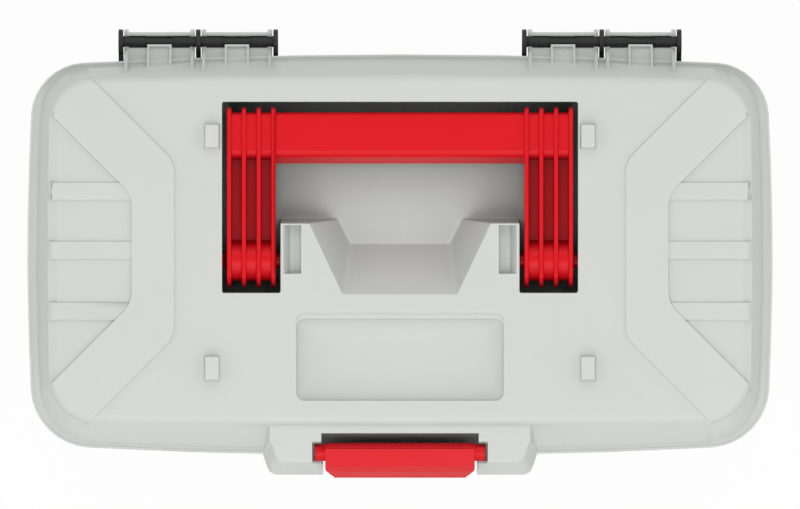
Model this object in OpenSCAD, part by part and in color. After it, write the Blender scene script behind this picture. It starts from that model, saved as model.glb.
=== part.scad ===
// Art supply box: a deep tub, a hinged lid with a sunken carry handle, a front latch and a lift-out tray.
// Millimetres. X runs across the box, -Y is the latch side, +Y the hinge side, Z is up.
// The origin is on the floor under the middle of the lid.

/* [Lid] */
// Width of the lid over its widest point
lid_w = 400; // [370:1:440]
// Depth of the lid from its front rim to its back rim
lid_d = 215.4; // [205:0.2:240]
// Height of the lid above the rim it sits on
lid_h = 46.2; // [44:0.2:60]
// Thickness of the moulded lid
lid_wall = 2.2; // [1.8:0.1:2.8]
// Radius of the two back corners
lid_back_r = 26; // [22:1:30]
// Radius of the two front corners
lid_front_r = 29; // [24:1:32]
// How far the two ends bow outwards
end_bow = 3.5; // [0:0.5:5]
// How far the front and the back bow outwards
side_bow = 6; // [0:0.5:7]

/* [Lid relief] */
// Height of the raised bands on the lid
band_rise = 1.2; // [0.6:0.1:2]
// Height of the cross bars on the lid
bar_rise = 0.4; // [0.3:0.1:1.2]
// Depth of the panels between the cross bars
panel_sink = 0.4; // [0.3:0.1:1.2]
// Height of the four stacking lugs
lug_h = 4; // [2:0.5:6]
// Width of the label recess
label_w = 111.2; // [80:0.2:120]
// Depth of the label recess below the lid's top
label_sink = 6; // [3:0.5:8]

/* [Handle] */
// Width of the carry handle over its arms
handle_w = 185; // [165:1:195]
// Width of each arm
arm_w = 26; // [22:0.5:28]
// Distance from the pivot to the back of the ribs
handle_reach = 81.8; // [74:0.2:86]
// Width of the bar that the hand holds
grip_w = 27.4; // [22:0.2:30]
// Height of the ribs above the pivot
rib_rise = 12; // [10:0.5:13]
// Radius of the ribs' round front ends
rib_end_r = 14.5; // [13.5:0.5:16]
// Thickness of each rib
rib_t = 2.3; // [1.8:0.1:3]
// Radius of the round barrel at the pivot
barrel_r = 11; // [9:0.5:11.5]
// Radius of the handle's pivot pins
trunnion_r = 4; // [3:0.5:5]
// Gap between the handle and the sides of its well
well_gap = 2.6; // [2:0.1:4]

/* [Latch] */
// Width of the latch
latch_w = 80; // [60:1:90]
// Radius of the latch's pivot pins
latch_pin_r = 4.6; // [4:0.1:5]
// Length of each latch pin
latch_pin_l = 5.7; // [4:0.1:7]
// Thickness of the latch
latch_t = 2.6; // [2:0.1:3]
// Width of the boss that carries the latch
boss_w = 148; // [136:1:170]

/* [Hinges] */
// Radius of the hinge rods
rod_r = 3; // [2.5:0.1:3.5]
// Distance from the lid's back edge to the hinge axis
hinge_out = 7; // [6.5:0.1:9]
// Distance from the lid's end to the outer hinge rib
hinge_end = 50; // [45:0.2:60]
// Spacing of the hinge ribs
hinge_pitch = 41.6; // [36:0.2:44]
// Thickness of the hinge ribs
hinge_rib_t = 2.5; // [2:0.1:3]
// Radius of the round ends of the hinge ribs
hinge_rib_r = 6.6; // [6:0.1:6.9]

/* [Base] */
// Height of the tub up to its rim
base_h = 139.5; // [120:0.5:160]
// Thickness of the tub's walls
base_wall = 2.4; // [2:0.1:3]
// Height of the moulded feet
foot_h = 4.5; // [4.5:0.5:7]
// Height at which the tub widens and the tray rests
shelf_z = 100; // [90:1:105]

/* [Tray] */
// Height of the lift-out tray
tray_h = 34; // [26:1:36]
// Thickness of the tray's walls
tray_wall = 1.8; // [1.4:0.1:2.2]
// Depth of the long brush bin, front to back
brush_bin = 62; // [50:1:70]
// Thickness of a loose divider
divider_t = 1.6; // [1.2:0.1:2]

/* [Fits] */
// Radial play of a pin that turns
pin_play = 0.06; // [0.02:0.01:0.1]
// Play between the hinge rods and the lid's clips
clip_play = 0.1; // [0.02:0.01:0.1]
// Gap between the lid and the tub's rim
seat_gap = 0.3; // [0.3:0.1:0.5]
// Gap round the tray
tray_gap = 0.8; // [0.6:0.1:1.2]

/* [Hidden] */
$fn = 48;
eps = 0.01;

corner_steps = 8;
side_steps = 6;

seat_z = base_h + seat_gap;
lid_top = seat_z + lid_h;

// the lid's rim: a skirt that hangs over the tub's rim, and a bead with a groove behind it
skirt_t = 2;
skirt_low = seat_z - 5.1;
bead_t = 1.3;
bead_top = seat_z + 4.4;
groove_in = 2.6;
wall_foot_in = groove_in + lid_wall / 2;
groove_z = bead_top - 0.5;

// the lid's walls, as distances in from the rim at the foot, at the shoulder and at the top
wall_end = 5;
round_h = 5;
round_steps = 4;
shoulder_z = lid_top - round_h;
shoulder_end = 11.5;
shoulder_back = 10.7;
shoulder_front = 16.3;
top_end = 14;
top_back = 16.1;
top_front = 21.4;
top_tighter = 4;
top_bow = 0.25;
shoulder_bow = 0.45;

// raised bands and sunk panels at the two ends
band_out_x = lid_w / 2 - 79.4;
band_in_x = lid_w / 2 - 56.5;
band_out_back = 49.9;
band_in_back = 32.4;
band_in_front = -25.8;
band_out_front = -43.4;
band_out_r = 13;
band_in_r = 15;
bar_centres = [34.2, 2.6, -30];
bar_w = 9.2;
panel_edge_x = lid_w / 2 - 17.2;
panel_ramp_x = lid_w / 2 - 11.5;
panel_ramp_drop = 3;

lug_w = 7.2;
lug_l = 12;
lug_back_y = 63.6;
lug_front_y = -60.4;
lug_draft = 0.8;

label_back = -31;
label_front = -78;
label_r = 4.5;
label_ledge = 2.9;
label_ledge_drop = 0.8;
label_ledge_end = 0.3;
label_slope_back = 17;
label_slope_front = 14;
label_slope_end = 13;
label_steps = 6;
label_terrace = 2;

// carry handle: its pivot, arms, grip and well
pivot_y = -2.9;
pivot_z = lid_top - rib_rise;
rib_back_y = pivot_y + handle_reach;
rib_low = 4;
arm_out = handle_w / 2;
arm_in = arm_out - arm_w;
rib_pitch = (arm_w - rib_t) / 3;
grip_back_y = rib_back_y - 2.6;
grip_front_y = grip_back_y - grip_w;
grip_top_z = lid_top - 1.5;
grip_low_z = pivot_z - 5;
grip_lean = 4;
grip_wall = 2.6;
grip_ribs = 5;
web_t = 3;
web_top_z = pivot_z + 2;
well_floor = pivot_z - rib_end_r - 1;
well_out = arm_out + well_gap;
well_in = arm_in - well_gap;
lug_x = well_out + 5.4;
well_back = rib_back_y + 3;
well_front = pivot_y - rib_end_r - 2.8;
well_r = 1.1;
bay_front_top = 16.8;
bay_front_low = 19.2;
bowl_top_back = 49.05;
bowl_top_front = 30.8;
bowl_low_back = 33.8;
bowl_low_front = 26.8;
bowl_front_top = -22.1;
bowl_front_low = 6;
pocket_out = well_in - 0.8;
pocket_mid = well_in - 5.1;
pocket_in = well_in - 10.9;
pocket_back = bay_front_top - 0.8;
pocket_front = -9.9;
pocket_sink = 5;
pocket_wall = 1.4;

// latch, its boss and its pins
latch_y = -lid_d / 2 + 2.1;
latch_z = lid_top - 10;
boss_top = lid_top - 4;
boss_front = lid_d / 2 + 10.3;
boss_deep = 20;
boss_back = -lid_d / 2 + boss_deep;
boss_r = 5.5;
boss_side_r = 8;
boss_taper = 4.2;
boss_taper_l = 12;
boss_draft = 4.2;
boss_front_draft = 7.4;
slot_half = latch_w / 2 + 1.3;
slot_back_half = latch_w / 2 + 2.05;
slot_back_y = latch_y + 10.3;
slot_step_y = latch_y - 1;
cradle_out = latch_w / 2 + latch_pin_l + 1.2;
cradle_half = latch_pin_r + 1.15;
cradle_block = 2.6;
catch_low = skirt_low - 4.2;
catch_top = skirt_low - 0.2;
catch_w = latch_w - 8;
catch_front = -lid_d / 2 - 3.7;
roll_r = latch_pin_r + 0.6;
facet_back = 2;
facet_top = roll_r + 0.6;
facet_out = 7.1;
facet_up = 4;
knee_out = 10.7;
knee_down = 3.4;
face_out = 11.1;
lip_out = 14.1;
lip_h = 9;
hook_t = 4;
hook_play = 0.4;
// the latch's chamfered lower corners, as distances in from its end and out from its axis
latch_corner = [[0, -2 * roll_r], [0, 9.2], [1.9, 11.8], [4.6, 13.7], [4.6, 2 * lip_out]];
hook_in = catch_front + 1.8;

// hinges
hinge_y = lid_d / 2 + hinge_out;
hinge_z = skirt_low - 1;
clip_r = rod_r + 2.1;
trough_in = rod_r + clip_play;
neck_r = rod_r - 0.6;
neck_half = 7.5;
clip_gap = 0.65;
clip_end_t = 2.4;
tab_w = 13.2;
tab_over = 1.5;
tab_rim = 1.2;
gusset_in = 8.8;
gusset_step = 0.35;
leg_in = 4.4;
press_play = 0.02;

// tub
flange_in = 2.5;
flange_low = base_h - 7.5;
collar_top_in = 6.5;
collar_low_in = 8.5;
tub_top_in = 12;
tub_low_in = 17;
tub_bow = 0.65;
floor_t = 2.6;
foot_w = 7;
foot_gap_x = 190;
foot_gap_y = 90;

// tray
tray_z = shelf_z + 0.3;
tray_floor = 2;
tray_top_in = collar_top_in + base_wall + tray_gap;
tray_low_in = collar_low_in + base_wall + tray_gap;
tray_row = brush_bin / 2;
back_walls = [-92, 0, 92];
divider_xs = [-92, 0, 92];
divider_h = tray_h - tray_floor - 4;
divider_front = -lid_d / 2 + tray_low_in + tray_wall + side_bow * tub_bow * 0.3 + 1.6;
guide = 1.4;
guide_play = 0.2;
notch_r = 13;

// colours
tub_colour = [0.13, 0.13, 0.14];
lid_colour = [0.83, 0.84, 0.83];
red_colour = [0.85, 0.12, 0.15];
tray_colour = [0.62, 0.64, 0.64];

// ---- outlines ----

// bends straight sides into shallow bows
function bowed(p, share) = [
    p[0] - sign(p[0]) * end_bow * share * pow(p[1] / (lid_d / 2), 2),
    p[1] - sign(p[1]) * side_bow * share * pow(p[0] / (lid_w / 2), 2)];

function corner(x, y, r, from) = [
    for (i = [0 : corner_steps]) let (a = from + 90 * i / corner_steps) [x + r * cos(a), y + r * sin(a)]];

function between(a, b) = [for (i = [1 : side_steps - 1]) a + (b - a) * i / side_steps];

// the lid's outline moved in from its rim, by different amounts at the ends, the back and the front
function outline(end_in, back_in, front_in, tighter = 0, share = 1) = let (
    x = lid_w / 2 - end_in,
    yb = lid_d / 2 - back_in,
    yf = lid_d / 2 - front_in,
    rb = lid_back_r - tighter,
    rf = lid_front_r - tighter,
    c = [corner(x - rb, yb - rb, rb, 0), corner(-x + rb, yb - rb, rb, 90),
         corner(-x + rf, -yf + rf, rf, 180), corner(x - rf, -yf + rf, rf, 270)],
    pts = [for (k = [0 : 3]) each concat(c[k], between(c[k][corner_steps], c[(k + 1) % 4][0]))])
    [for (p = pts) bowed(p, share)];

function rim(inset) = outline(inset, inset, inset, inset);

// a polygon with each corner rounded to its own radius
function filleted(p, r, n = 5) = [
    for (i = [0 : len(p) - 1])
        let (b = p[i],
             u = (p[(i + len(p) - 1) % len(p)] - b) / norm(p[(i + len(p) - 1) % len(p)] - b),
             v = (p[(i + 1) % len(p)] - b) / norm(p[(i + 1) % len(p)] - b),
             half = acos(u * v) / 2,
             middle = b + (u + v) / norm(u + v) * r[i] / sin(half),
             from = b + u * r[i] / tan(half) - middle,
             to = b + v * r[i] / tan(half) - middle)
        each r[i] == 0 ? [b] : [
            for (k = [0 : n]) let (d = from * (n - k) + to * k) middle + r[i] * d / norm(d)]];

module slab(z, pts) {
    translate([0, 0, z]) linear_extrude(eps) polygon(pts);
}

module prism(low, high, pts) {
    translate([0, 0, low]) linear_extrude(high - low) polygon(pts);
}

// a profile drawn in Y and Z, pulled out along X
module along_x(from, to) {
    translate([from, 0, 0]) rotate([90, 0, 90]) linear_extrude(to - from) children();
}

// a profile drawn in X and Z, pulled out along Y
module along_y(from, to) {
    translate([0, to, 0]) rotate([90, 0, 0]) linear_extrude(to - from) children();
}

module rod_x(from, to, y, z, r) {
    translate([from, y, z]) rotate([0, 90, 0]) cylinder(r = r, h = to - from);
}

module block(low, high) {
    translate(low) cube(high - low);
}

module both_sides() {
    children();
    mirror([1, 0, 0]) children();
}

// ---- tub ----

function hinge_rib_at(i) = lid_w / 2 - hinge_end - (2 - i) * hinge_pitch;

function tub_back_y(x) = lid_d / 2 - collar_top_in - side_bow * tub_bow * pow(x / (lid_w / 2), 2);

function tub_rim(inset) = outline(inset, inset, inset, inset, tub_bow);

module tub_outside() {
    hull() {
        slab(foot_h, tub_rim(tub_low_in));
        slab(shelf_z, tub_rim(tub_top_in));
    }
    hull() {
        slab(shelf_z - 3.5, tub_rim(tub_top_in));
        slab(shelf_z, tub_rim(collar_low_in));
        slab(base_h - eps, tub_rim(collar_top_in));
    }
    prism(flange_low, base_h, rim(flange_in));
}

module tub_inside() {
    hull() {
        slab(foot_h + floor_t, tub_rim(tub_low_in + base_wall));
        slab(shelf_z, tub_rim(tub_top_in + base_wall));
    }
    hull() {
        slab(shelf_z - eps, tub_rim(collar_low_in + base_wall));
        slab(base_h + eps, tub_rim(collar_top_in + base_wall));
    }
}

module feet() {
    difference() {
        prism(0, foot_h + eps, tub_rim(tub_low_in + 1));
        prism(-1, foot_h + 1, tub_rim(tub_low_in + 1 + foot_w));
        block([-foot_gap_x / 2, -lid_d, -1], [foot_gap_x / 2, lid_d, foot_h]);
        block([-lid_w, -foot_gap_y / 2, -1], [lid_w, foot_gap_y / 2, foot_h]);
    }
}

// the arm that carries a hinge rod, from the tub's wall out to the hinge axis
module hinge_rib(x) {
    wall_y = tub_back_y(x) - base_wall / 2;
    along_x(x - hinge_rib_t / 2, x + hinge_rib_t / 2) difference() {
        union() {
            translate([hinge_y, hinge_z]) circle(r = hinge_rib_r);
            polygon([[hinge_y + hinge_rib_r * cos(-35), hinge_z + hinge_rib_r * sin(-35)],
                     [hinge_y - hinge_rib_r + 0.6, hinge_z],
                     [wall_y, flange_low + 0.5],
                     [wall_y, hinge_z - 34]]);
        }
        translate([hinge_y, hinge_z]) circle(r = rod_r + press_play);
    }
}

// the ledge that the latch's hook pulls up against, on three gussets
module catch() {
    wall_y = -lid_d / 2 + collar_top_in + base_wall / 2;
    block([-catch_w / 2, catch_front, catch_low], [catch_w / 2, wall_y, catch_top]);
    for (x = [-1, 0, 1]) along_x(x * catch_w / 3 - 1.2, x * catch_w / 3 + 1.2)
        polygon([[hook_in + 2.2, catch_low + eps], [wall_y, catch_low + eps], [wall_y, catch_low - 12]]);
}

module base_tub() {
    color(tub_colour) {
        difference() {
            union() {
                tub_outside();
                catch();
            }
            tub_inside();
        }
        feet();
        both_sides() for (i = [0 : 2]) hinge_rib(hinge_rib_at(i));
    }
}

// a hinge rod is thinner in the middle of each clip
module hinge_rod(side) {
    end = hinge_rib_t / 2 - 0.2;
    color(tub_colour) scale([side, 1, 1]) difference() {
        rod_x(hinge_rib_at(0) - end, hinge_rib_at(2) + end, hinge_y, hinge_z, rod_r);
        for (i = [0.5, 1.5]) difference() {
            rod_x(hinge_rib_at(i) - neck_half, hinge_rib_at(i) + neck_half, hinge_y, hinge_z, rod_r + 1);
            rod_x(hinge_rib_at(i) - neck_half - 1, hinge_rib_at(i) + neck_half + 1, hinge_y, hinge_z, neck_r);
        }
    }
}

// ---- lid ----

// how far the shoulder's rounding has turned in at step k
function rounding(from, to, k) = from + (to - from) * (1 - cos(90 * k / round_steps));

module lid_outside() {
    hull() {
        slab(groove_z - 1, outline(wall_end, groove_in, groove_in, groove_in));
        for (k = [0 : round_steps])
            slab(lid_top - eps - round_h * (1 - sin(90 * k / round_steps)),
                 outline(rounding(shoulder_end, top_end, k), rounding(shoulder_back, top_back, k),
                         rounding(shoulder_front, top_front, k), top_tighter,
                         shoulder_bow + (top_bow - shoulder_bow) * k / round_steps));
    }
}

module lid_inside() {
    w = lid_wall;
    tighter = top_tighter + w;
    hull() {
        slab(seat_z - 1, outline(wall_end + w, groove_in + w, groove_in + w, groove_in + w));
        slab(shoulder_z - w / 2,
             outline(shoulder_end + w, shoulder_back + w, shoulder_front + w, tighter, shoulder_bow));
        slab(lid_top - w, outline(top_end + w, top_back + w, top_front + w, tighter, top_bow));
    }
}

function bowl_outline(half_front, half_back, front, back) =
    [[-half_back, back], [-half_front, front], [half_front, front], [half_back, back]];

// one end bay of the well, where an arm lies
function bay_outline(grow) = let (r = well_r + grow) filleted(
    [[well_in - grow, well_front - grow], [well_out + grow, well_front - grow],
     [well_out + grow, well_back + grow], [well_in - grow, well_back + grow]], [r, r, r, 0]);

// the space the handle folds into, or that space grown by a wall
module well(grow, high) {
    low = well_floor - grow;
    side = grow * 1.2;
    front = grow * 1.4;
    both_sides() prism(low, high, bay_outline(grow));
    along_x(-well_in - 1, well_in + 1)
        polygon([[bay_front_top - grow, high], [bay_front_low - grow, low],
                 [well_back + grow, low], [well_back + grow, high]]);
    hull() {
        slab(high - eps, bowl_outline(bowl_top_front + side, bowl_top_back + side,
                                      bowl_front_top - front, bay_front_top));
        slab(low, bowl_outline(bowl_low_front + side, bowl_low_back + side,
                               bowl_front_low - front, bay_front_low + 1));
    }
}

function label_outline(half, front, back) = filleted(
    [[-half, front], [half, front], [half, back], [-half, back]], [label_r, label_r, label_r, label_r]);

// the label recess: a narrow ledge along its back, then a dish that rounds down to a flat floor
function label_z(k) = lid_top - label_ledge_drop - (label_sink - label_ledge_drop) * sin(90 * k / label_steps);

function label_step(k, grow) = let (in = 1 - cos(90 * k / label_steps))
    label_outline(label_w / 2 - label_ledge_end + grow - label_slope_end * in,
                  label_front + label_ledge_end - grow + label_slope_front * in,
                  label_back - label_ledge + grow - label_slope_back * in);

module label_recess() {
    prism(lid_top - label_ledge_drop, lid_top + eps, label_outline(label_w / 2, label_front, label_back));
    hull() for (k = [0 : label_steps]) slab(label_z(k), label_step(k, 0));
}

// the underside of the label recess goes down in terraces
module label_underside() {
    w = lid_wall;
    prism(label_z(label_terrace) - w, lid_top, label_outline(label_w / 2 + w, label_front - w, label_back + w));
    for (k = [2 * label_terrace : label_terrace : label_steps])
        prism(label_z(k) - w, lid_top, label_step(k - label_terrace, w));
}

// the finger pocket in the top of each cheek beside the handle
module pocket(grow, high) {
    along_y(pocket_front - grow, pocket_back + min(grow, 0.4))
        polygon([[pocket_out, high], [pocket_mid + grow / 2, lid_top - pocket_sink - grow],
                 [pocket_in - grow, lid_top - pocket_sink - grow], [pocket_in - grow, high]]);
}

module lug(y) {
    intersection() {
        along_y(y - lug_l, y + lug_l)
            polygon([[lug_x - lug_w / 2 - lug_draft, lid_top - 1], [lug_x + lug_w / 2 + lug_draft, lid_top - 1],
                     [lug_x + lug_w / 2, lid_top + lug_h], [lug_x - lug_w / 2, lid_top + lug_h]]);
        along_x(lug_x - lug_w, lug_x + lug_w)
            polygon([[y - lug_l / 2 - 2 * lug_draft, lid_top - 1], [y + lug_l / 2 + lug_draft, lid_top - 1],
                     [y + lug_l / 2, lid_top + lug_h], [y - lug_l / 2, lid_top + lug_h]]);
    }
}

// outer edge of the C-shaped band on the right-hand end; its legs run out at 45 degrees
function band_out_edge() = let (far = lid_w) filleted(
    [[band_out_x + far, band_out_front - far], [band_out_x, band_out_front],
     [band_out_x, band_out_back], [band_out_x + far, band_out_back + far]],
    [0, band_out_r, band_out_r, 0]);

function band_in_edge() = let (far = lid_w) filleted(
    [[band_in_x + far, band_in_front - far], [band_in_x, band_in_front],
     [band_in_x, band_in_back], [band_in_x + far, band_in_back + far]],
    [0, band_in_r, band_in_r, 0]);

module top_face_2d() {
    polygon(outline(top_end, top_back, top_front, top_tighter, top_bow));
}

// the lid's own surface raised along the bands, so that their ends run out over its rounded edge
module bands() {
    intersection() {
        translate([0, 0, band_rise]) lid_outside();
        both_sides() translate([0, 0, shoulder_z]) linear_extrude(round_h + band_rise) difference() {
            polygon(band_out_edge());
            polygon(band_in_edge());
        }
    }
}

module bars_2d(longer) {
    for (y = bar_centres) translate([panel_edge_x - 60, y - bar_w / 2]) square([60 + longer, bar_w]);
}

module cross_bars() {
    translate([0, 0, lid_top - eps]) linear_extrude(bar_rise + eps) intersection() {
        top_face_2d();
        polygon(band_in_edge());
        bars_2d(60);
    }
}

// sinks the panels between the cross bars, with a ramp down to the lid's end
module sunk_panels() {
    difference() {
        intersection() {
            prism(shoulder_z, lid_top + 1, band_in_edge());
            along_y(band_in_front - 60, band_in_back + 60)
                polygon([[band_in_x - 10, lid_top + 1], [band_in_x - 10, lid_top - panel_sink],
                         [panel_edge_x, lid_top - panel_sink], [panel_ramp_x, lid_top - panel_ramp_drop],
                         [panel_ramp_x + 10, lid_top - panel_ramp_drop], [panel_ramp_x + 10, lid_top + 1]]);
        }
        translate([0, 0, shoulder_z - 1]) linear_extrude(lid_top - shoulder_z + 3) bars_2d(60);
    }
}

function boss_outline(half, front) = filleted(
    [[-half + boss_taper, front], [half - boss_taper, front], [half, front + boss_taper_l], [half, boss_back],
     [-half, boss_back], [-half, front + boss_taper_l]],
    [boss_r, boss_r, boss_side_r, 0, 0, boss_side_r]);

module boss_outside() {
    hull() {
        slab(skirt_low, boss_outline(boss_w / 2, -boss_front));
        slab(boss_top - eps, boss_outline(boss_w / 2 - boss_draft, -boss_front + boss_front_draft));
    }
}

module boss_hollow() {
    w = lid_wall;
    intersection() {
        prism(skirt_low - 1, boss_top - w,
              boss_outline(boss_w / 2 - boss_draft - w, -boss_front + boss_front_draft + w));
        union() {
            block([cradle_out + w, -lid_d, skirt_low - 1], [boss_w, boss_back + 1, boss_top]);
            block([slot_half + w, -lid_d, skirt_low - 1],
                  [cradle_out + w + eps, latch_y + 11, latch_z - latch_pin_r - cradle_block]);
        }
    }
}

// the two ears that hold the latch's pins: hollow from below, with open-topped cradles
module boss() {
    difference() {
        boss_outside();
        both_sides() boss_hollow();
        block([-slot_half, -boss_front - 1, skirt_low - 1], [slot_half, slot_back_y, boss_top + 1]);
        block([-slot_back_half, slot_step_y, skirt_low - 1], [slot_back_half, slot_back_y, boss_top + 1]);
        block([-cradle_out, latch_y - cradle_half, latch_z], [cradle_out, latch_y + cradle_half, boss_top + 1]);
        rod_x(-cradle_out, cradle_out, latch_y, latch_z, latch_pin_r + pin_play);
    }
}

// one clip: a trough under the rod, end cheeks, a web to the rim, gussets and a snap tab over the rod
module hinge_clip(i) {
    left = hinge_rib_at(i) + hinge_rib_t / 2 + clip_gap;
    right = hinge_rib_at(i + 1) - hinge_rib_t / 2 - clip_gap;
    middle = (left + right) / 2;
    bow = side_bow * pow(right / (lid_w / 2), 2);
    rim_y = lid_d / 2 - bow - 1;
    tab_y = hinge_y - tab_over;
    tab_z = hinge_z + rod_r + 0.4;
    gusset_y = lid_d / 2 - gusset_in - bow * (1 + shoulder_bow) / 2;
    gusset_z = groove_z + (gusset_in - groove_in) / (shoulder_back - groove_in) * (shoulder_z - groove_z);
    leg_y = lid_d / 2 - leg_in - bow;
    leg_z = groove_z + (leg_in - groove_in) / (shoulder_back - groove_in) * (shoulder_z - groove_z);
    difference() {
        union() {
            along_x(left, right) {
                intersection() {
                    translate([hinge_y, hinge_z]) circle(r = clip_r);
                    translate([hinge_y - clip_r, hinge_z - clip_r]) square([2 * clip_r, clip_r]);
                }
                translate([hinge_y + trough_in, hinge_z - eps]) square([clip_r - trough_in, 1.8]);
                polygon([[hinge_y - rod_r - 0.4, hinge_z + 1.2], [hinge_y - clip_r, hinge_z - 1.6],
                         [rim_y, skirt_low], [rim_y, skirt_low + 2.4]]);
            }
            for (x = [left, right - clip_end_t]) {
                along_x(x, x + clip_end_t) intersection() {
                    translate([hinge_y, hinge_z]) circle(r = hinge_rib_r);
                    translate([hinge_y - 10, hinge_z - 10]) square([20, 11.5]);
                }
                along_x(x + gusset_step, x + clip_end_t - gusset_step)
                    polygon([[hinge_y - rod_r - 1, hinge_z - 2], [hinge_y - rod_r - 1, hinge_z + 2.6],
                             [gusset_y, gusset_z], [gusset_y - 1, gusset_z], [rim_y - 1, skirt_low]]);
            }
            along_x(middle - tab_w / 2, middle + tab_w / 2)
                polygon([[tab_y, tab_z - 1], [tab_y, tab_z + 1], [leg_y, leg_z], [leg_y - 1, leg_z],
                         [rim_y - 1, skirt_low]]);
        }
        rod_x(left - 1, right + 1, hinge_y, hinge_z, rod_r + clip_play);
        along_x(middle - tab_w / 2 + tab_rim, middle + tab_w / 2 - tab_rim)
            polygon([[tab_y - tab_rim, leg_z], [tab_y - tab_rim, tab_z], [rim_y + 1.2, tab_z + 2.6],
                     [rim_y + 1.2, bead_top], [leg_y - 1.5, bead_top], [leg_y - 1.5, leg_z + eps]]);
    }
}

// the hollow shell: walls and top, rim with its bead and groove, and the latch's boss
module lid_shell() {
    difference() {
        union() {
            difference() {
                prism(skirt_low, bead_top, rim(0));
                translate([0, 0, groove_z]) linear_extrude(bead_top - groove_z + eps) difference() {
                    polygon(rim(bead_t));
                    polygon(outline(groove_in, wall_foot_in, wall_foot_in, groove_in));
                }
            }
            lid_outside();
            boss();
        }
        lid_inside();
    }
}

module lid() {
    color(lid_colour) difference() {
        union() {
            lid_shell();
            well(lid_wall, lid_top);
            label_underside();
            bands();
            both_sides() {
                pocket(pocket_wall, lid_top);
                cross_bars();
                lug(lug_back_y);
                lug(lug_front_y);
                hinge_clip(0);
                hinge_clip(1);
            }
        }
        prism(skirt_low - 1, seat_z, rim(skirt_t));
        well(0, lid_top + 1);
        label_recess();
        both_sides() {
            pocket(0, lid_top + 1);
            sunk_panels();
            rod_x(well_in - 1.5 * lid_wall, well_in + 1, pivot_y, pivot_z, trunnion_r + pin_play);
            rod_x(well_out - 1, well_out + 1.5 * lid_wall, pivot_y, pivot_z, trunnion_r + pin_play);
        }
    }
}

// ---- carry handle ----

module rib_2d() {
    intersection() {
        translate([pivot_y, pivot_z]) circle(r = rib_end_r);
        translate([pivot_y - 2 * rib_end_r, pivot_z - 2 * rib_end_r])
            square([4 * rib_end_r, 2 * rib_end_r + rib_rise]);
    }
    polygon(filleted([[pivot_y, pivot_z - rib_low - 6], [pivot_y + 30, pivot_z - rib_low],
                      [rib_back_y, pivot_z - rib_low], [rib_back_y, lid_top], [pivot_y, lid_top]],
                     [0, 0, 3, 3, 0]));
}

module arm() {
    for (i = [0 : 3]) along_x(arm_in + i * rib_pitch, arm_in + i * rib_pitch + rib_t) rib_2d();
    rod_x(arm_in + eps, arm_out - eps, pivot_y, pivot_z, barrel_r);
    block([arm_in + eps, pivot_y + 2, web_top_z - web_t], [arm_out - eps, grip_front_y + 2, web_top_z]);
    rod_x(arm_in - well_gap - lid_wall + 0.2, arm_in + 1, pivot_y, pivot_z, trunnion_r);
    rod_x(arm_out - 1, arm_out + well_gap + lid_wall - 0.2, pivot_y, pivot_z, trunnion_r);
}

function grip_outline(inset, drop) = filleted(
    [[grip_front_y + inset, grip_low_z - drop], [grip_back_y - inset, grip_low_z - drop],
     [grip_back_y - inset, grip_top_z - inset], [grip_front_y + grip_lean + inset / 2, grip_top_z - inset]],
    [0, 0, 3 - inset / 2, 4 - inset / 2]);

module carry_handle() {
    bay = (2 * arm_in - grip_ribs * rib_t) / (grip_ribs + 1);
    color(red_colour) {
        both_sides() arm();
        difference() {
            along_x(-arm_out + eps, arm_out - eps) polygon(grip_outline(0, 0));
            for (i = [0 : grip_ribs]) along_x(-arm_in + i * (bay + rib_t), -arm_in + i * (bay + rib_t) + bay)
                polygon(grip_outline(grip_wall, 1));
        }
    }
}

// ---- latch ----

// side view of the latch: a roll round the pins, a sloping shoulder, a long face, a lip and an inward hook
module latch_2d() {
    hook_z = catch_low - hook_play;
    lip_y = latch_y - lip_out;
    face_y = latch_y - face_out;
    translate([latch_y, latch_z]) circle(r = roll_r);
    polygon([[latch_y + facet_back, latch_z + facet_top],
             [latch_y - facet_out, latch_z + facet_up], [latch_y - knee_out, latch_z - knee_down],
             [face_y, hook_z + lip_h], [lip_y, hook_z + 1], [lip_y, hook_z - hook_t],
             [lip_y + 1.6, hook_z - hook_t - 1.4], [hook_in + 0.8, hook_z - hook_t + 0.4],
             [hook_in, hook_z - hook_t + 1.4], [hook_in, hook_z],
             [face_y + latch_t, hook_z], [face_y + latch_t, hook_z + lip_h],
             [latch_y - knee_out + latch_t, latch_z - knee_down - 1],
             [latch_y - facet_out + latch_t, latch_z - 3.2], [latch_y - 1, latch_z - 4]]);
}

module latch() {
    half = latch_w / 2;
    color(red_colour) {
        intersection() {
            along_x(-half, half) latch_2d();
            prism(0, lid_top + lid_h,
                  concat([for (c = latch_corner) [-half + c[0], latch_y - c[1]]],
                         [for (i = [len(latch_corner) - 1 : -1 : 0])
                             [half - latch_corner[i][0], latch_y - latch_corner[i][1]]]));
        }
        rod_x(-half - latch_pin_l, half + latch_pin_l, latch_y, latch_z, latch_pin_r);
    }
}

// ---- tray ----

module tray_inside() {
    hull() {
        slab(tray_z + tray_floor, tub_rim(tray_low_in + tray_wall));
        slab(tray_z + tray_h, tub_rim(tray_top_in + tray_wall));
    }
}

module tray_walls() {
    high = tray_z + tray_h - 2;
    for (y = [-tray_row, tray_row])
        block([-lid_w / 2, y - tray_wall / 2, tray_z], [lid_w / 2, y + tray_wall / 2, high]);
    for (x = back_walls) block([x - tray_wall / 2, tray_row, tray_z], [x + tray_wall / 2, lid_d / 2, high]);
}

// upright strips that hold the loose dividers in the front row
module divider_guides() {
    for (x = divider_xs, s = [-1, 1]) {
        near = divider_t / 2 + guide_play;
        low_x = s > 0 ? x + near : x - near - guide;
        high = tray_z + tray_h - 4;
        block([low_x, -tray_row - tray_wall, tray_z + 1], [low_x + guide, -tray_row, high]);
        block([low_x, -lid_d / 2, tray_z + 1], [low_x + guide, divider_front + 0.2, high]);
    }
}

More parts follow.
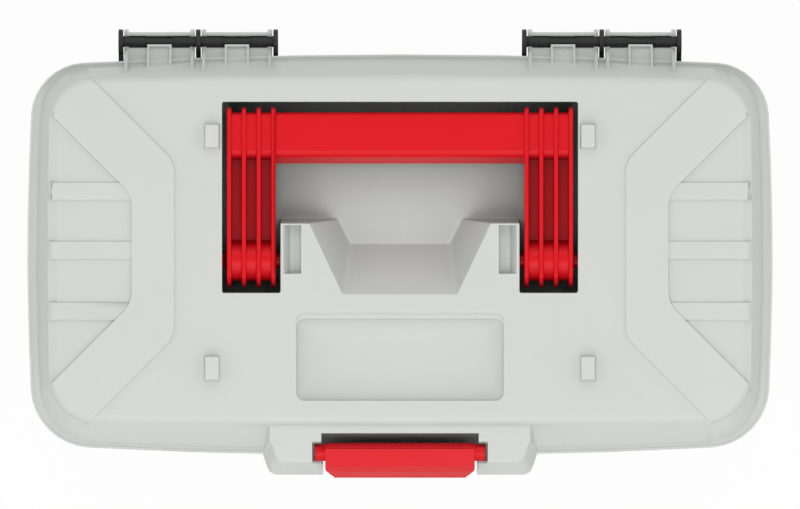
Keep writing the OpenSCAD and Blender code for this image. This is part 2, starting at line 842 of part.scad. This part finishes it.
module lift_out_tray() {
    color(tray_colour) difference() {
        union() {
            difference() {
                hull() {
                    slab(tray_z, tub_rim(tray_low_in));
                    slab(tray_z + tray_h - eps, tub_rim(tray_top_in));
                }
                tray_inside();
            }
            intersection() {
                union() {
                    tray_walls();
                    divider_guides();
                }
                hull() {
                    slab(tray_z + 0.5, tub_rim(tray_low_in + 0.5));
                    slab(tray_z + tray_h - eps, tub_rim(tray_top_in + 0.5));
                }
            }
        }
        rod_x(-lid_w / 2, lid_w / 2, 0, tray_z + tray_h + 3, notch_r);
    }
}

module tray_divider(x) {
    low_z = tray_z + tray_floor;
    color(tray_colour) block([x - divider_t / 2, divider_front - 0.8, low_z],
                             [x + divider_t / 2, -tray_row - tray_wall / 2 - guide_play, low_z + divider_h]);
}

base_tub();
hinge_rod(-1);  // hinge_rod_left
hinge_rod(1);  // hinge_rod_right
lid();
carry_handle();
latch();
lift_out_tray();
tray_divider(divider_xs[0]);  // tray_divider_left
tray_divider(divider_xs[1]);  // tray_divider_middle
tray_divider(divider_xs[2]);  // tray_divider_right
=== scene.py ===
import math
import bmesh
import bpy
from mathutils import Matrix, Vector
from mathutils.bvhtree import BVHTree
from mathutils.kdtree import KDTree


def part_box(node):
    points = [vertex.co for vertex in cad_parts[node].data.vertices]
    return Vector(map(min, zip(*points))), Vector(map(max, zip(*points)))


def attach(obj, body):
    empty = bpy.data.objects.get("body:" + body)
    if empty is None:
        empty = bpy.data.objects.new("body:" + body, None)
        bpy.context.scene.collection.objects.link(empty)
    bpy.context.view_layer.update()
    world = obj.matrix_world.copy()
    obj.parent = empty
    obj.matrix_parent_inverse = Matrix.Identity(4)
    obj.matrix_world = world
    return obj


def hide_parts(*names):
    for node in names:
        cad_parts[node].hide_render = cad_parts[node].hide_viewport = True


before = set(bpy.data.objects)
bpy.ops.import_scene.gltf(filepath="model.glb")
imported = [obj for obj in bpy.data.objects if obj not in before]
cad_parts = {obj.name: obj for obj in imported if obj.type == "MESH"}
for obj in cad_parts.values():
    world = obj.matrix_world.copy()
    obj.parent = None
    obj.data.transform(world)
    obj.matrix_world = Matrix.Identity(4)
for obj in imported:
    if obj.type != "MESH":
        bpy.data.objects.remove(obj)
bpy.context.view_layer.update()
scene = bpy.context.scene
print("frame loaded:", len(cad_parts), "nodes")


# an sRGB hex colour as linear values, with an alpha of 1
def linearFromHex(code):
    parts = [int(code[i:i + 2], 16) / 255 for i in (1, 3, 5)]
    return tuple(p / 12.92 if p <= 0.04045 else ((p + 0.055) / 1.055) ** 2.4 for p in parts) + (1.0,)


# a new node: a setting goes to the socket of that name or number, or else to the node itself
def addNode(tree, kind, settings=None, links=None):
    node = tree.nodes.new(kind)
    for key, value in (settings or {}).items():
        if key in node.inputs.keys() or isinstance(key, int):
            node.inputs[key].default_value = value
        else:
            setattr(node, key, value)
    for key, source in (links or {}).items():
        tree.links.new(source, node.inputs[key])
    return node


def newMaterial(name):
    material = bpy.data.materials.new(name)
    material.use_nodes = True
    tree = material.node_tree
    tree.nodes.clear()
    return material, tree


# 1 where the lid's painted shade is left off, low on its rim and clips and along its front, down to 0 on its
# top and in the handle's well
def shadeFreeZone(tree, zone, place):
    where = addNode(tree, "ShaderNodeSeparateXYZ", links={0: place})
    low = addNode(tree, "ShaderNodeMapRange", {"From Min": zone["rim"], "From Max": zone["top"],
                                               "To Min": 1.0, "To Max": 0.0}, {"Value": where.outputs["Z"]})
    aside = addNode(tree, "ShaderNodeMath", {"operation": "ABSOLUTE"}, {0: where.outputs["X"]})
    across = addNode(tree, "ShaderNodeMath", {"operation": "LESS_THAN", 1: zone["wellSide"]},
                     {0: aside.outputs[0]})
    along = addNode(tree, "ShaderNodeMath", {"operation": "LESS_THAN", 1: zone["wellBack"]},
                    {0: where.outputs["Y"]})
    well = addNode(tree, "ShaderNodeMath", {"operation": "MULTIPLY"},
                   {0: across.outputs[0], 1: along.outputs[0]})
    beside = addNode(tree, "ShaderNodeMath", {"operation": "SUBTRACT"},
                     {0: low.outputs[0], 1: well.outputs[0]})
    front = addNode(tree, "ShaderNodeMath", {"operation": "LESS_THAN", 1: zone["front"]},
                    {0: where.outputs["Y"]})
    return addNode(tree, "ShaderNodeMath", {"operation": "MAXIMUM"},
                   {0: beside.outputs[0], 1: front.outputs[0]})


# about 1 in the open, down to 0 where a place is shut in: the close look leaves small creases out. It sets
# how much painted shade a place gets, and is 1 in the parts where that shade is left off
def openness(tree, look, place):
    wide = addNode(tree, "ShaderNodeAmbientOcclusion", {"Distance": look["hollowReach"], "samples": 8})
    close = addNode(tree, "ShaderNodeAmbientOcclusion", {"Distance": look["creaseReach"], "samples": 4})
    space = addNode(tree, "ShaderNodeMath", {"operation": "DIVIDE"},
                    {0: wide.outputs["AO"], 1: close.outputs["AO"]})
    if not look["shadeFreeParts"]:
        return space
    zone = shadeFreeZone(tree, look["shadeFreeParts"], place)
    return addNode(tree, "ShaderNodeMath", {"operation": "MAXIMUM"},
                   {0: space.outputs[0], 1: zone.outputs[0]})


# painted shade: the colour goes over to the painted shade colour where the place is shut in, standing in for
# the shade that falls there
def paintHollowShade(tree, look, place, colour):
    light = openness(tree, look, place)
    steep = addNode(tree, "ShaderNodeMath", {"operation": "MULTIPLY", 1: look["hollowSteep"]},
                    {0: light.outputs[0]})
    gentle = addNode(tree, "ShaderNodeMapRange", {"From Max": look["hollowTo"], "To Min": look["hollowFrom"]},
                     {"Value": light.outputs[0]})
    depth = addNode(tree, "ShaderNodeMath", {"operation": "MINIMUM"},
                    {0: steep.outputs[0], 1: gentle.outputs[0]})
    return addNode(tree, "ShaderNodeMix", {"data_type": "RGBA", 6: linearFromHex(look["hollow"])},
                   {0: depth.outputs[0], 7: colour.outputs[2]})


# moulded polypropylene: an even colour with a faint cloudiness, painted shade in its hollows where its look
# gives a reach for it, and the fine grain of a sparked mould
# (a Mix node's two colours are its sockets 6 and 7, and they leave it by its output 2)
def mouldedPlastic(name, look):
    material, tree = newMaterial(name)
    place = addNode(tree, "ShaderNodeTexCoord").outputs["Object"]
    cloud = addNode(tree, "ShaderNodeTexNoise",
                    {"Scale": 1 / look["cloudSize"], "Detail": 3.0, "Roughness": 0.55}, {"Vector": place})
    colour = addNode(tree, "ShaderNodeMix", {"data_type": "RGBA", 6: linearFromHex(look["dark"]),
                                             7: linearFromHex(look["light"])}, {0: cloud.outputs["Fac"]})
    # painted shade: the colour darkens where the place is shut in
    if look["hollowReach"]:
        colour = paintHollowShade(tree, look, place, colour)
    if look["cast"]:
        rays = addNode(tree, "ShaderNodeLightPath")
        share = addNode(tree, "ShaderNodeMath", {"operation": "MULTIPLY", 1: look["cast"]},
                        {0: rays.outputs["Is Diffuse Ray"]})
        colour = addNode(tree, "ShaderNodeMix", {"data_type": "RGBA", 7: linearFromHex(look["castHex"])},
                         {0: share.outputs[0], 6: colour.outputs[2]})
    grain = addNode(tree, "ShaderNodeTexNoise", {"Scale": 1 / look["grainSize"], "Detail": 2.0},
                    {"Vector": place})
    polish = addNode(tree, "ShaderNodeMapRange",
                     {"From Min": 0.3, "From Max": 0.7, "To Min": look["roughLow"],
                      "To Max": look["roughHigh"]}, {"Value": cloud.outputs["Fac"]})
    bump = addNode(tree, "ShaderNodeBump",
                   {"Strength": look["grainStrength"], "Distance": look["grainDepth"]},
                   {"Height": grain.outputs["Fac"]})
    surface = addNode(tree, "ShaderNodeBsdfPrincipled",
                      {"IOR": look["ior"], "Specular IOR Level": look["gloss"],
                       "Subsurface Weight": look["milk"], "Subsurface Scale": look["milkDepth"],
                       "Subsurface Radius": (1.0, 1.0, 0.9)},
                      {"Base Color": colour.outputs[2], "Roughness": polish.outputs[0],
                       "Normal": bump.outputs[0]})
    addNode(tree, "ShaderNodeOutputMaterial", links={"Surface": surface.outputs[0]})
    return material


lidLow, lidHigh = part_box("lid")
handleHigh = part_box("carry_handle")[1]
latchLow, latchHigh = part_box("latch")

# the painted shade is left off the lid's rim, clips and front, but the handle's well gets it all the way down
lidShadeFreeZone = {
    "rim": lidHigh.z - 0.032,
    "top": lidHigh.z - 0.008,
    "front": lidLow.y + 0.026,
    "wellSide": handleHigh.x + 0.006,
    "wellBack": handleHigh.y + 0.006,
}
# in each look, lengths are in metres, and a reach or a share of 0 leaves that part out

# milky polypropylene: a pale, cool grey that glows a little from within, with a satin skin
milkyLook = {
    "dark": "#d6d9d4",
    "light": "#dcdeda",
    "gloss": 0.3,
    "hollow": "#2c2e2c",  # painted shade: the lid goes towards this dark colour where it is shut in, standing in for the shade there
    "hollowReach": 0.06,
    "hollowSteep": 8.0,
    "hollowFrom": 0.42,
    "hollowTo": 1.04,
    "creaseReach": 0.004,
    "shadeFreeParts": lidShadeFreeZone,
    "cast": 0.0,
    "cloudSize": 0.05,
    "grainSize": 0.0007,  # real grain is finer: this is what shows
    "grainStrength": 0.12,
    "grainDepth": 0.0001,
    "roughLow": 0.4,
    "roughHigh": 0.48,
    "ior": 1.49,
    "milk": 0.25,
    "milkDepth": 0.003,
}
# red polypropylene: one strong, even red with a soft gloss
redLook = {
    "dark": "#e00c1a",
    "light": "#e60e1c",
    "gloss": 0.16,
    # painted shade: the red goes towards this dark red between the ribs and in other shut-in places
    "hollow": "#7c000a",
    "hollowReach": 0.02,
    "hollowSteep": 2.5,
    "hollowFrom": 0.0,
    "hollowTo": 0.5,
    "creaseReach": 0.001,
    "shadeFreeParts": None,
    "cast": 0.65,  # its neighbours catch less of its red than the eye does
    "castHex": "#503c38",
    "cloudSize": 0.04,
    "grainSize": 0.0006,
    "grainStrength": 0.08,
    "grainDepth": 0.0001,
    "roughLow": 0.34,
    "roughHigh": 0.38,
    "ior": 1.49,
    "milk": 0.0,
    "milkDepth": 0.001,
}
# the latch's red plastic has a duller skin, and more painted shade darkens it behind its roll
latchLook = dict(redLook, gloss=0.22, hollowReach=0.03, hollowTo=0.95, roughLow=0.42, roughHigh=0.46)
# black polypropylene: near black, with a grain that greys it at a slant
blackLook = {
    "dark": "#242426",
    "light": "#2b2b2d",
    "gloss": 0.3,
    "hollowReach": 0.0,
    "cast": 0.0,
    "cloudSize": 0.05,
    "grainSize": 0.0007,
    "grainStrength": 0.2,
    "grainDepth": 0.0001,
    "roughLow": 0.36,
    "roughHigh": 0.46,
    "ior": 1.49,
    "milk": 0.0,
    "milkDepth": 0.001,
}
# grey polypropylene: a plain mid grey, duller than the rest
greyLook = {
    "dark": "#8f9292",
    "light": "#999c9c",
    "gloss": 0.3,
    "hollowReach": 0.0,
    "cast": 0.0,
    "cloudSize": 0.05,
    "grainSize": 0.0007,
    "grainStrength": 0.15,
    "grainDepth": 0.0001,
    "roughLow": 0.4,
    "roughHigh": 0.5,
    "ior": 1.49,
    "milk": 0.0,
    "milkDepth": 0.001,
}
milkyPolypropylene = mouldedPlastic("milkyPolypropylene", milkyLook)
redPolypropylene = mouldedPlastic("redPolypropylene", redLook)
latchPolypropylene = mouldedPlastic("latchPolypropylene", latchLook)
blackPolypropylene = mouldedPlastic("blackPolypropylene", blackLook)
greyPolypropylene = mouldedPlastic("greyPolypropylene", greyLook)
print("materials made")


# edges between two faces that meet at more than the angle, in degrees
def sharpEdges(work, angle):
    return [e for e in work.edges if len(e.link_faces) == 2 and e.calc_face_angle() > math.radians(angle)]


# whether an edge lies in a box, on either side of the lid's middle
def isWithin(edge, low, high):
    ends = [(abs(v.co.x), v.co.y, v.co.z) for v in edge.verts]
    return all(low[k] <= end[k] <= high[k] for end in ends for k in range(3))


def bevelEdges(work, chosen, width, segments):
    bmesh.ops.bevel(work, geom=chosen, offset=width, offset_type="OFFSET", segments=segments, profile=0.5,
                    affect="EDGES", clamp_overlap=False, material=-1, miter_outer="SHARP")


# how folds in the rounding are found and eased
folds = {
    "smallest": 2e-8,  # smaller triangles don't show
    "along": 0.2,  # less than this along the skin is a fold
    "reach": 1.5,  # in widths of the rounding
    "steps": (0.5, 0.5, 0.5, 0.0, 0.0),
}


# corners of the triangles that the rounding has folded over, so that they no longer lie along the skin
def foldedCorners(piece, skin, reach):
    shape = piece.evaluated_get(bpy.context.evaluated_depsgraph_get())
    mesh = shape.to_mesh()
    mesh.calc_loop_triangles()
    folded = []
    for triangle in mesh.loop_triangles:
        if triangle.area < folds["smallest"]:
            continue
        corners = [mesh.vertices[k].co.copy() for k in triangle.vertices]
        near = skin.find_nearest_range(sum(corners, Vector()) / 3, reach)
        if all(triangle.normal.dot(hit[1]) < folds["along"] for hit in near):
            folded += corners
    shape.to_mesh_clear()
    return folded


# makes the rounding smaller wherever it folds the surface, as thin steps have no room for it
def easeFolds(piece, skin, width):
    mesh = piece.data
    weights = mesh.attributes["bevel_weight_edge"].data
    marks = []
    for edge in mesh.edges:
        if weights[edge.index].value > 0:
            a, b = (mesh.vertices[k].co for k in edge.vertices)
            count = int((b - a).length / width) + 1
            marks += [(a.lerp(b, k / count), edge.index) for k in range(count + 1)]
    tree = KDTree(len(marks))
    for k, (point, index) in enumerate(marks):
        tree.insert(point, k)
    tree.balance()
    for step in folds["steps"]:
        folded = foldedCorners(piece, skin, width)
        if not folded:
            break
        close = {marks[k][1] for corner in folded
                 for place, k, gap in tree.find_range(corner, folds["reach"] * width)}
        for index in close:
            weights[index].value *= step
        mesh.update()
        print(piece.name, "eased", len(close), "edges for", len(folded) // 3, "folded triangles")


# a merged copy of a CAD node's mesh, with its sharp edges rounded as a mould rounds them
def roundedCopy(node, name, body, material, finish):
    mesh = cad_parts[node].data.copy()
    mesh.name = name
    work = bmesh.new()
    work.from_mesh(mesh)
    bmesh.ops.remove_doubles(work, verts=work.verts, dist=finish["merge"])
    bmesh.ops.dissolve_degenerate(work, edges=work.edges, dist=finish["merge"])
    bmesh.ops.dissolve_limit(work, verts=work.verts, edges=work.edges,
                             angle_limit=math.radians(finish["flat"]))
    if finish["softer"]:
        softer = finish["softer"]
        chosen = [e for e in sharpEdges(work, finish["sharp"]) if isWithin(e, softer["low"], softer["high"])]
        bevelEdges(work, chosen, softer["width"], softer["segments"])
    skin = BVHTree.FromBMesh(work)
    weight = work.edges.layers.float.new("bevel_weight_edge")
    for edge in sharpEdges(work, finish["sharp"]):
        edge[weight] = 1.0
    for face in work.faces:
        face.smooth = True
    work.to_mesh(mesh)
    work.free()
    mesh.materials.clear()
    mesh.materials.append(material)
    piece = bpy.data.objects.new(name, mesh)
    scene.collection.objects.link(piece)
    rounding = piece.modifiers.new("roundedEdges", "BEVEL")
    rounding.limit_method = "WEIGHT"
    rounding.width = finish["width"]
    rounding.segments = finish["segments"]
    rounding.profile = 0.5
    rounding.use_clamp_overlap = False
    easeFolds(piece, skin, finish["width"])
    piece.modifiers.new("flatFaces", "WEIGHTED_NORMAL")
    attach(piece, body)
    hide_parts(node)
    print(name, len(mesh.polygons), "faces")


# each piece's edges: lengths in metres, angles in degrees
tubEdges = {
    "width": 0.0004,
    "segments": 2,
    "sharp": 25,
    "flat": 0.05,
    "merge": 0.000002,
    "softer": None,
}
# the lid's boss for the latch has softer outer edges than the rest
bossEdges = {
    "width": 0.0018,
    "segments": 3,
    "low": (latchHigh.x + 0.008, latchLow.y, latchLow.z + 0.026),
    "high": (latchHigh.x + 0.03, latchHigh.y, latchHigh.z + 0.001),
}
lidEdges = dict(tubEdges, softer=bossEdges)
handleEdges = dict(tubEdges)
latchEdges = dict(tubEdges)
trayEdges = dict(tubEdges, width=0.0003)
rodEdges = dict(tubEdges, width=0.0003)
dividerEdges = dict(tubEdges, width=0.0002)

roundedCopy("base_tub", "tub", "tub", blackPolypropylene, tubEdges)
roundedCopy("lid", "milkyLid", "lid", milkyPolypropylene, lidEdges)
roundedCopy("carry_handle", "redHandle", "handle", redPolypropylene, handleEdges)
roundedCopy("latch", "redLatch", "latch", latchPolypropylene, latchEdges)
roundedCopy("lift_out_tray", "tray", "tray", greyPolypropylene, trayEdges)
for side in ("left", "right"):
    roundedCopy("hinge_rod_" + side, side + "HingeRod", "tub", blackPolypropylene, rodEdges)
for side in ("left", "middle", "right"):
    roundedCopy("tray_divider_" + side, side + "Divider", "tray", greyPolypropylene,
                dividerEdges)
print("pieces made")

# places and sizes in metres, powers in watts
studio = {
    "aim": (0.0, 0.0, 0.15),
    "keyPlace": (0.0, -1.5, 1.75),
    "keySize": 0.9,
    "keyPower": 5.4,
    "highPlace": (0.0, -0.8, 2.4),
    "highSize": 0.7,
    "highPower": 9.5,
    "rimPlace": (0.0, 1.5, 1.75),
    "rimSize": 0.9,
    "rimPower": 3.8,
    "worldStrength": 0.68,
    "floorHex": "#f2f2f0",
    "floorWhite": 0.96,
    "floorWidth": 12.0,
}


def areaLamp(name, place, size, power):
    data = bpy.data.lights.new(name, "AREA")
    data.shape = "SQUARE"
    data.size = size
    data.energy = power
    lamp = bpy.data.objects.new(name, data)
    lamp.location = place
    lamp.rotation_euler = (Vector(studio["aim"]) - Vector(place)).to_track_quat("-Z", "Y").to_euler()
    lamp.visible_camera = False
    scene.collection.objects.link(lamp)


for lamp in ("key", "high", "rim"):
    areaLamp(lamp + "Lamp", studio[lamp + "Place"], studio[lamp + "Size"], studio[lamp + "Power"])


# rays on which a viewer, a mirror or glass sees the background itself
def straightRays(tree):
    rays = addNode(tree, "ShaderNodeLightPath")
    gloss = addNode(tree, "ShaderNodeMath", {"operation": "MAXIMUM"},
                    {0: rays.outputs["Is Camera Ray"], 1: rays.outputs["Is Glossy Ray"]})
    return addNode(tree, "ShaderNodeMath", {"operation": "MAXIMUM"},
                   {0: gloss.outputs[0], 1: rays.outputs["Is Transmission Ray"]})


# white to the camera and to gloss, a soft grey fill for everything else
pureWhite = (1.0, 1.0, 1.0, 1.0)
world = bpy.data.worlds.new("studioWorld")
scene.world = world
world.use_nodes = True
air = world.node_tree
air.nodes.clear()
fill = addNode(air, "ShaderNodeBackground", {"Color": pureWhite, "Strength": studio["worldStrength"]})
white = addNode(air, "ShaderNodeBackground", {"Color": pureWhite, "Strength": 1.0})
seen = addNode(air, "ShaderNodeMixShader",
               links={0: straightRays(air).outputs[0], 1: fill.outputs[0], 2: white.outputs[0]})
addNode(air, "ShaderNodeOutputWorld", links={"Surface": seen.outputs[0]})

# the floor: pale paper that the camera sees as nearly white, with the object's soft shadow on it
paper, tree = newMaterial("studioPaper")
lit = addNode(tree, "ShaderNodeBsdfDiffuse", {"Color": linearFromHex(studio["floorHex"])})
glow = addNode(tree, "ShaderNodeEmission", {"Color": pureWhite, "Strength": 1.0})
share = addNode(tree, "ShaderNodeMath", {"operation": "MULTIPLY", 1: studio["floorWhite"]},
                {0: addNode(tree, "ShaderNodeLightPath").outputs["Is Camera Ray"]})
both = addNode(tree, "ShaderNodeMixShader",
               links={0: share.outputs[0], 1: lit.outputs[0], 2: glow.outputs[0]})
addNode(tree, "ShaderNodeOutputMaterial", links={"Surface": both.outputs[0]})
sheet = bmesh.new()
bmesh.ops.create_grid(sheet, x_segments=1, y_segments=1, size=studio["floorWidth"] / 2)
floorMesh = bpy.data.meshes.new("studioFloor")
sheet.to_mesh(floorMesh)
sheet.free()
floorMesh.materials.append(paper)
floor = bpy.data.objects.new("studioFloor", floorMesh)
scene.collection.objects.link(floor)

# straight down from far above, so that the box hardly tapers
view = {
    "level": 0.14,  # the height at which the view is this wide
    "width": 0.4296,
    "distance": 10.0,
    "aside": 0.0003,
    "sensor": 36.0,  # millimetres
    "farthest": 40.0,
}
cameraData = bpy.data.cameras.new("studioCamera")
cameraData.sensor_width = view["sensor"]
cameraData.lens = view["sensor"] * view["distance"] / view["width"]
cameraData.clip_end = view["farthest"]
camera = bpy.data.objects.new("studioCamera", cameraData)
camera.location = (0.0, view["aside"], view["level"] + view["distance"])
scene.collection.objects.link(camera)
scene.camera = camera
scene.view_settings.view_transform = "Standard"
print("studio made")
